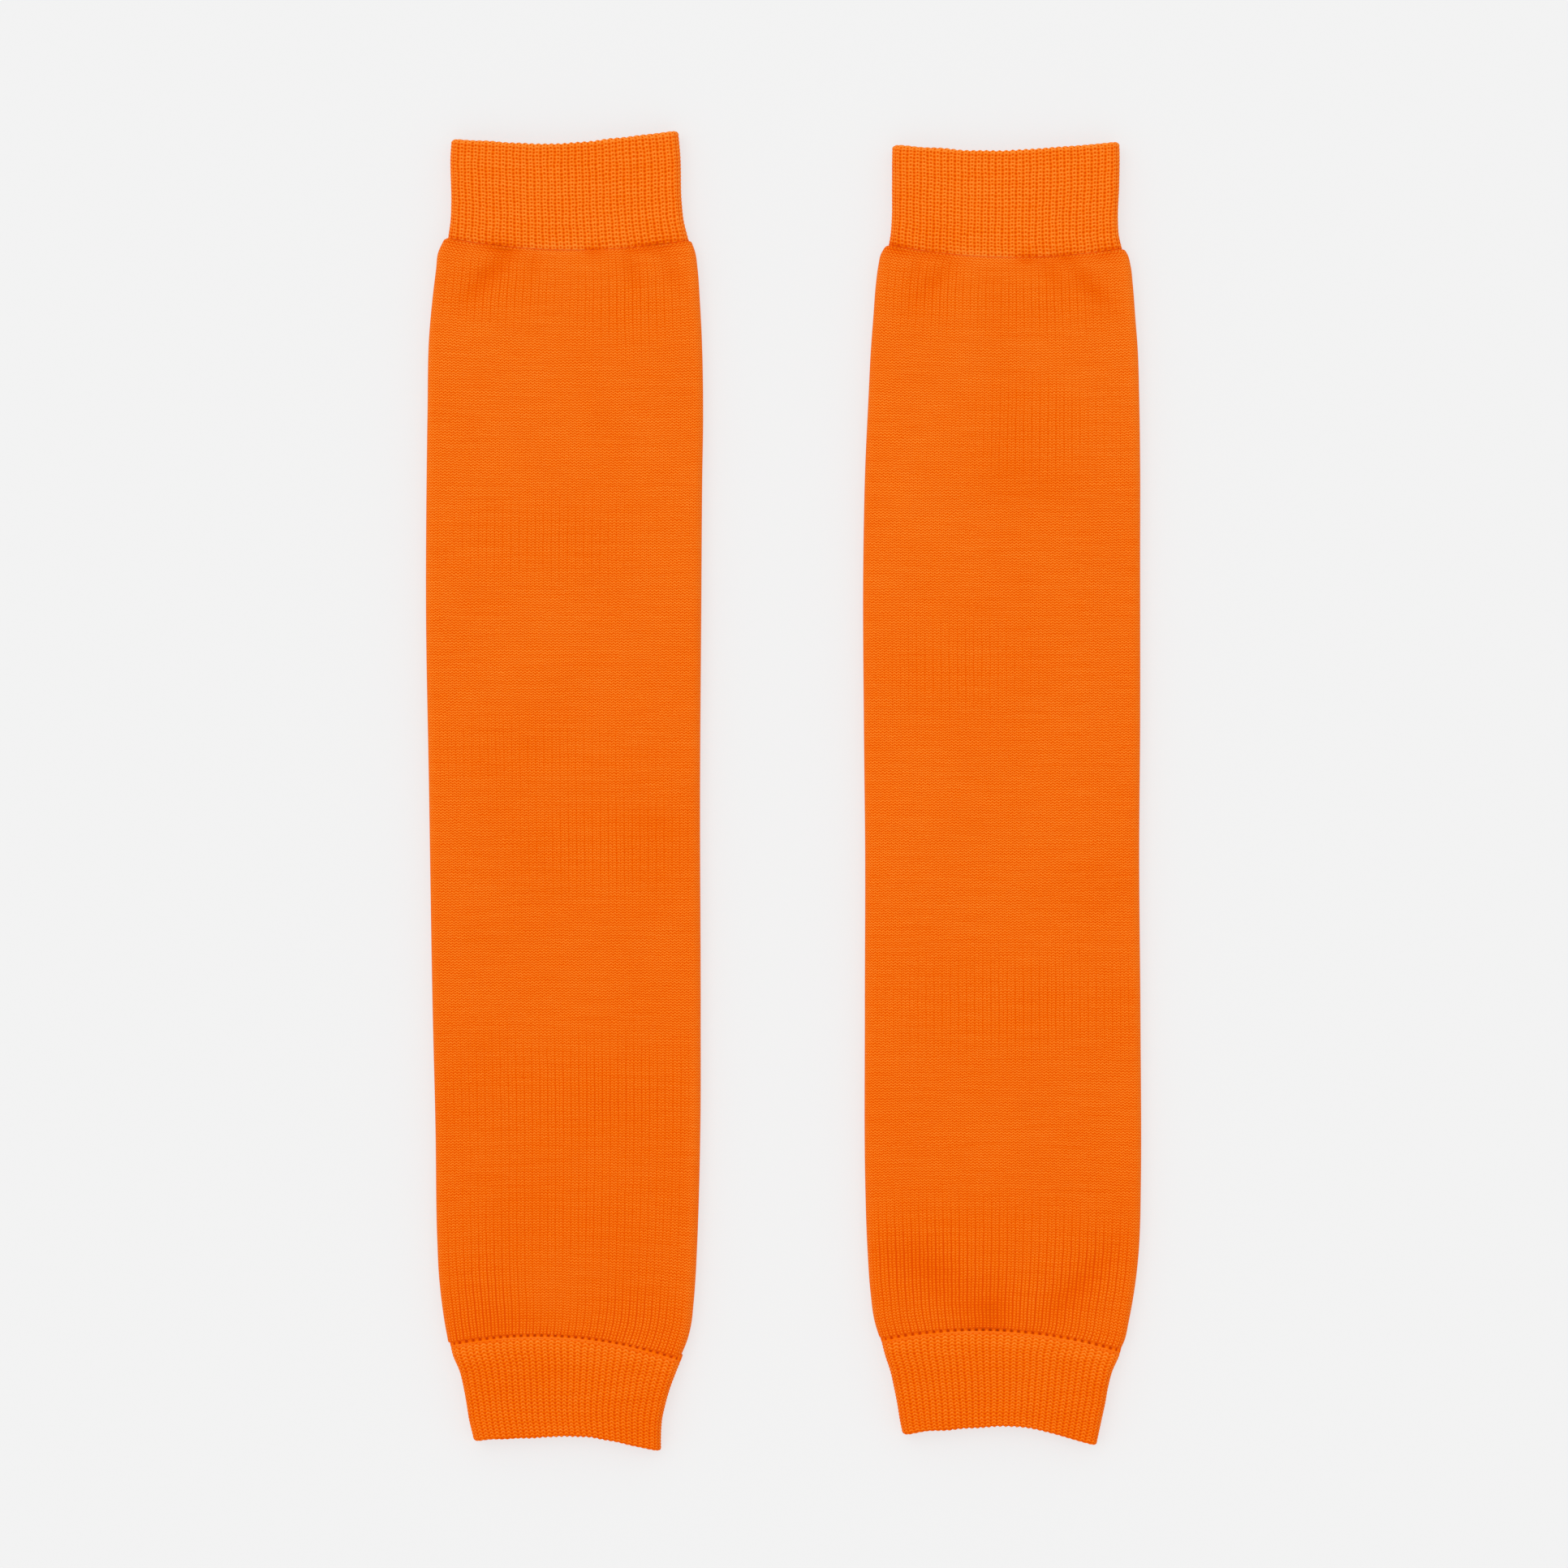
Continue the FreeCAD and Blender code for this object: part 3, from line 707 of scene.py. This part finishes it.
def build_cuff_outer(side, which):
    """The outer ply of a turned cuff: up its outside, round the turned edge, and back inside the ply."""
    sizes = bpy.context.scene.sleeve_sizes
    length, around = cuff_length(side, which), sizes.ribs * 8
    wall, ply, turn = sizes.cuff_wall, sizes.cuff_ply, sizes.cuff_wall / 2
    face = np.linspace(0, length - turn, sizes.cuff_courses * 5)
    rounded = np.linspace(0, math.pi, 9)[1:]
    back = np.linspace(length - 3 * MM, 0.1 * MM, 5)
    along, depth = wall_profile(
        (face, 0 * face),
        (length - turn + turn * np.sin(rounded), turn - turn * np.cos(rounded)),
        ([length - turn - 0.8 * MM, length - turn - 1.2 * MM], [wall, ply]),
        (back, 0 * back + ply))
    share = np.arange(around) / around
    u = share[None, :] * sizes.ribs
    # Each rib's fold stands a little further out, so the turned edge is finely scalloped.
    at_fold = np.exp(-np.abs(length - along) / (0.9 * MM)) * (depth < wall)
    scallop = (0.2 * MM * (np.cos(2 * math.pi * u) - 1)
               + 0.1 * MM * slow_waves(FOLD_SEEDS[side], u, 0 * u, (3, 9), 5))
    rows = cuff_rows(side, which, along + at_fold * scallop)
    # v runs towards the upper cuff on every cuff, so all the arches of loops rise the same way.
    v = along / length * sizes.cuff_courses * OUTWARD[which]
    outside = np.clip(1 - depth / turn, 0, 1)
    near_edge = np.clip((length - along) / (1.6 * MM), 0.35, 1)
    knit = f"{which}_rib_knit"
    relief = rib_relief(u, v, KNIT_LOOKS[knit]["arch"], sizes.rib_depth) * outside * near_edge
    points, out_z = sheet_points(side, which, share, rows, depth, cuff_thick(which, along), CUFF_SIDE, relief)
    cuff_lift(side, which, points, out_z, along)
    made = ring_mesh(f"{side}_{which}_cuff_rib", points, np.linspace(0, sizes.ribs, around + 1),
                     np.append(v[:, 0], v[-1, 0]))
    point_value(made, "open_wale_shade", 0.0)

    # The upper cuff's turned edge has a painted highlight, and the ankle cuff's a little painted shade. Both
    # are painted paler near their seams, the upper one with painted shade there where it is creased, and both
    # have a painted highlight where they turn over at the sides.
    at_edge = np.exp(-(np.clip(length - along, 0, 1) / (0.8 * MM)) ** 2)
    if which == "upper":
        crease_shade = soft_bumps(CREASE_SHADE[side], points[..., 0] - CENTRE[side])
        shade = fading(along, 1.2 * MM) * (0.9 * crease_shade - 0.4) - 0.65 * at_edge
    else:
        shade = 0.12 * at_edge - 0.17 * np.exp(-(np.clip(along, 0, 1) / (4 * MM)) ** 2)
    point_value(made, "shadowed", (shade - 0.2 * (1 - np.clip(out_z, 0, 1))).ravel())
    give_knit(made, knit)
    bend_at_fold(made, side, which)
    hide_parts(f"{side}_{which}_cuff_outer")
    return made


def build_cuff_inner(side, which):
    """The inner ply of a turned cuff, a thin tube of rib inside the outer one."""
    sizes = bpy.context.scene.sleeve_sizes
    length, around = cuff_length(side, which), sizes.ribs * 4
    inner, outer = sizes.cuff_wall, sizes.cuff_wall - sizes.cuff_ply
    face = np.linspace(0.2 * MM, length - 1.5 * MM, 46)
    along, depth = wall_profile((face, 0 * face + inner), (face[::-1], 0 * face + outer))
    share = np.arange(around) / around
    u = share[None, :] * sizes.ribs
    relief = -0.5 * sizes.rib_depth * (0.5 + 0.5 * np.cos(2 * math.pi * u)) * (depth > outer + 1e-9)
    points, out_z = sheet_points(side, which, share, cuff_rows(side, which, along), depth,
                                 cuff_thick(which, along), CUFF_SIDE, relief)
    cuff_lift(side, which, points, out_z, along)
    v = np.append(along[:, 0], along[-1, 0]) / length * sizes.cuff_courses
    made = ring_mesh(f"{side}_{which}_cuff_lining", points, np.linspace(0, sizes.ribs, around + 1), v)
    point_value(made, "open_wale_shade", 0.0)
    point_value(made, "shadowed", 0.0)
    give_knit(made, "lining_knit")
    bend_at_fold(made, side, which)
    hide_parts(f"{side}_{which}_cuff_inner")
    return made


# The elastic yarns of a cuff: their radius, how far the first and the last lie from its ends, their number.
YARN_RADIUS = 0.19 * MM
YARN_MARGIN = 3 * MM
YARNS = {"upper": 8, "ankle": 6}


def build_elastic(side, which):
    """The elastic yarns of one cuff: round yarns, each in a ring between the two plies."""
    sizes = bpy.context.scene.sleeve_sizes
    bow = abs(seam_arc(side, which)[1]) * MM
    places = np.linspace(bow + YARN_MARGIN, cuff_length(side, which) - YARN_MARGIN, YARNS[which])
    around, turns = sizes.ribs * 2, np.linspace(0, 2 * math.pi, 9)[:-1, None]
    depth = sizes.cuff_ply + 0.25 * MM + YARN_RADIUS * np.sin(turns)
    rings = []
    for place in places:
        along = place + YARN_RADIUS * np.cos(turns)
        points, out_z = sheet_points(side, which, np.arange(around) / around, cuff_rows(side, which, along),
                                     depth, cuff_thick(which, along), CUFF_SIDE, 0.0)
        cuff_lift(side, which, points, out_z, along)
        wraps = np.linspace(0, 2 * sizes.ribs, around + 1)
        rings.append(ring_mesh("yarn", points, wraps, np.linspace(0, 1, 9)))
    with bpy.context.temp_override(active_object=rings[0], selected_editable_objects=rings):
        bpy.ops.object.join()
    made = rings[0]
    made.name = made.data.name = f"{side}_{which}_elastic_yarns"
    made.data.materials.append(bpy.data.materials.get("covered_elastic") or elastic_material())
    bend_at_fold(made, side, which)
    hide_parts(f"{side}_{which}_cuff_elastic")
    return made


# A joining course: how far it reaches under the leg and past the cuff's first course, how far its face and
# its back lie below the leg's surface, how far its gaps sink, and where they lie along it, on the leg's side.
COURSE_REACH = 1.5 * MM
COURSE_LAP = 0.2 * MM
COURSE_FACE = {"upper": 0.62 * MM, "ankle": 0.12 * MM}
COURSE_BACK = 1.5 * MM
GAP_SINK = {"upper": 0.255 * MM, "ankle": 0.6375 * MM}
GAP_PLACE = -0.05 * MM


def build_course(side, which):
    """The joining course: a narrow ring of thread pairs, one pair to a rib, with a gap between pairs.

    A gap's depth is a slot halfway between two ribs, (1/2 - cos(2 pi u) / 2) to the power 1.4, that fades
    with the distance from the middle of the gaps: at the ankle as e to the minus its fourth power, which
    leaves clear holes, and at the upper cuff as e to the minus its square, which leaves a soft furrow.
    """
    sizes = bpy.context.scene.sleeve_sizes
    arc, outward, ankle = seam_arc(side, which), OUTWARD[which], which == "ankle"
    around, steps = sizes.ribs * 14, 21
    face = np.linspace(-COURSE_REACH, CUFF_START[which] + COURSE_LAP, steps)
    back = face[::-4]
    # Its face dips under the cuff's first course.
    dip = 0.3 * MM * np.clip((face - CUFF_START[which] + 0.1 * MM) / (0.2 * MM), 0, 1)
    along, depth = wall_profile((face, COURSE_FACE[which] + dip), (back, 0 * back + COURSE_BACK))
    outer = (depth < COURSE_BACK) * 1.0

    def rows(t):
        return arc[0] * MM + outward * along + arc_offset(arc, t)

    share = np.arange(around) / around
    u = share[None, :] * sizes.ribs
    slot = (0.5 - 0.5 * np.cos(2 * math.pi * u)) ** 1.4
    off = along - GAP_PLACE
    if ankle:
        gap = slot * np.exp(-(off / np.where(off > 0, 0.34 * MM, 0.6 * MM)) ** 4)
    else:
        gap = (0.45 + 0.55 * slot) * np.exp(-(off / (0.6 * MM)) ** 2)
    threads = 0.5 + 0.5 * np.cos(4 * math.pi * u)
    relief = (0.10 * MM * threads - GAP_SINK[which] * gap) * outer
    points, out_z = sheet_points(side, "ankle" if ankle else "leg", share, rows, depth,
                                 LEG_THICK - 0.3 * MM, COURSE_SIDE, relief)
    x, y = points[..., 0] - CENTRE[side], points[..., 1]
    half = smooth_through(OUTLINES[side]["leg"], arc[0] * MM + outward * along, 1)
    points[..., 2] += np.clip(out_z, 0, 1) * leg_lift(side, x, y, half) * outer
    wales = np.linspace(0, 2 * sizes.ribs, around + 1) + 0.5
    v = np.append(along[:, 0], along[-1, 0]) / (40 * MM)
    made = ring_mesh(f"{side}_{which}_joining_loops", points, wales, v)
    # The gaps get painted shade, at the ankle darkest at the listed places. At the upper course they get a
    # painted highlight, but painted shade where it is creased. On the leg's side painted shade lies between
    # the wales.
    if ankle:
        darkness = 0.65 + 0.5 * soft_bumps(DARKEST_GAP_SHADE[side], x)
    else:
        darkness = 0.5 * soft_bumps(CREASE_SHADE[side], x) - 0.3
    leg_side = np.clip(0.5 - off / (0.8 * MM), 0, 1) * (1.1 if ankle else 0.3)
    point_value(made, "open_wale_shade", (leg_side + 0 * x).ravel())
    point_value(made, "shadowed", (gap * outer * darkness).ravel())
    give_knit(made, "joining_knit")
    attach(made, f"{side}_sleeve")
    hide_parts(f"{side}_{which}_joining_course")
    return made


class LegOperator(bpy.types.Operator):
    bl_idname = "leg_sleeves.build_legs"
    bl_label = "Build legs and joining courses"

    def execute(self, context):
        for side in SIDES:
            leg = build_leg(side)
            courses = [build_course(side, which) for which in ENDS]
        return {"FINISHED"}


class CuffOperator(bpy.types.Operator):
    """Builds the outer and inner plies of all four cuffs"""

    bl_idname = "leg_sleeves.build_cuffs"
    bl_label = "Build cuffs"

    def execute(self, context):
        for side in SIDES:
            for which in ENDS:
                build_cuff_outer(side, which)
                build_cuff_inner(side, which)
        return {"FINISHED"}


class ElasticOperator(bpy.types.Operator):
    """Builds the elastic yarns inside all four cuffs"""

    bl_idname = "leg_sleeves.build_elastic"
    bl_label = "Build elastic yarns"

    def execute(self, context):
        for side in SIDES:
            for which in ENDS:
                build_elastic(side, which)
        return {"FINISHED"}


class StageOperator(bpy.types.Operator):
    """Makes the floor, the soft light and the camera straight above"""

    bl_idname = "leg_sleeves.build_stage"
    bl_label = "Build stage"

    def execute(self, context):
        colours = context.scene.yarn_colours
        bpy.ops.mesh.primitive_plane_add(size=6)
        floor = context.active_object
        floor.name = "floor"
        paint = Paint("pale_floor")
        lit = paint.node("ShaderNodeBsdfPrincipled", {}, Base_Color=rgba(colours.floor), Roughness=0.9,
                         Specular_IOR_Level=0.0)
        even = paint.node("ShaderNodeEmission", {}, Color=rgba(colours.floor), Strength=1.0)
        seen = paint.node("ShaderNodeLightPath", {})
        floor.data.materials.append(paint.finish(
            paint.node("ShaderNodeMixShader", {}, seen * EVEN_FLOOR, lit, even)))

        world = bpy.data.worlds.new("studio")
        world.use_nodes = True
        context.scene.world = world
        world.node_tree.nodes["Background"].inputs["Color"].default_value = (1, 1, 1, 1)
        world.node_tree.nodes["Background"].inputs["Strength"].default_value = ROOM_LIGHT
        sun = bpy.data.lights.new("softbox", "SUN")
        sun.energy, sun.angle = LAMP_LIGHT, math.radians(45)
        lamp = bpy.data.objects.new("softbox", sun)
        lamp.rotation_euler = (math.radians(-16), math.radians(-20), 0)
        context.scene.collection.objects.link(lamp)

        # A long lens straight above, so that both sleeves are seen flat on.
        camera = bpy.data.cameras.new("camera")
        camera.lens, camera.sensor_width = 135, 36
        camera.clip_start, camera.clip_end = 0.05, 20
        rig = bpy.data.objects.new("camera", camera)
        rig.location = (*VIEW_MIDDLE, VIEW_HEIGHT + VIEW_WIDTH * camera.lens / camera.sensor_width)
        context.scene.collection.objects.link(rig)
        context.scene.camera = rig
        context.scene.view_settings.view_transform = "Standard"
        return {"FINISHED"}


OPERATORS = (LegOperator, CuffOperator, ElasticOperator, StageOperator)


class SleevePanel(bpy.types.Panel):
    """Lists the sizes, the colours and the steps"""

    bl_idname = "VIEW3D_PT_leg_sleeves"
    bl_label = "Leg sleeves"
    bl_space_type = "VIEW_3D"
    bl_region_type = "UI"
    bl_category = "Leg sleeves"

    def draw(self, context):
        for group in (context.scene.sleeve_sizes, context.scene.yarn_colours):
            for name in group.__annotations__:
                self.layout.prop(group, name)
        for operator in OPERATORS:
            self.layout.operator(operator.bl_idname)


CLASSES = (SleeveSizes, YarnColours, *OPERATORS, SleevePanel)


def register():
    for each in CLASSES:
        bpy.utils.register_class(each)
    bpy.types.Scene.sleeve_sizes = bpy.props.PointerProperty(type=SleeveSizes)
    bpy.types.Scene.yarn_colours = bpy.props.PointerProperty(type=YarnColours)


def unregister():
    del bpy.types.Scene.yarn_colours
    del bpy.types.Scene.sleeve_sizes
    for each in reversed(CLASSES):
        bpy.utils.unregister_class(each)


def main():
    register()
    bpy.ops.leg_sleeves.build_legs()
    bpy.ops.leg_sleeves.build_cuffs()
    bpy.ops.leg_sleeves.build_elastic()
    bpy.ops.leg_sleeves.build_stage()


if __name__ == "__main__":
    main()
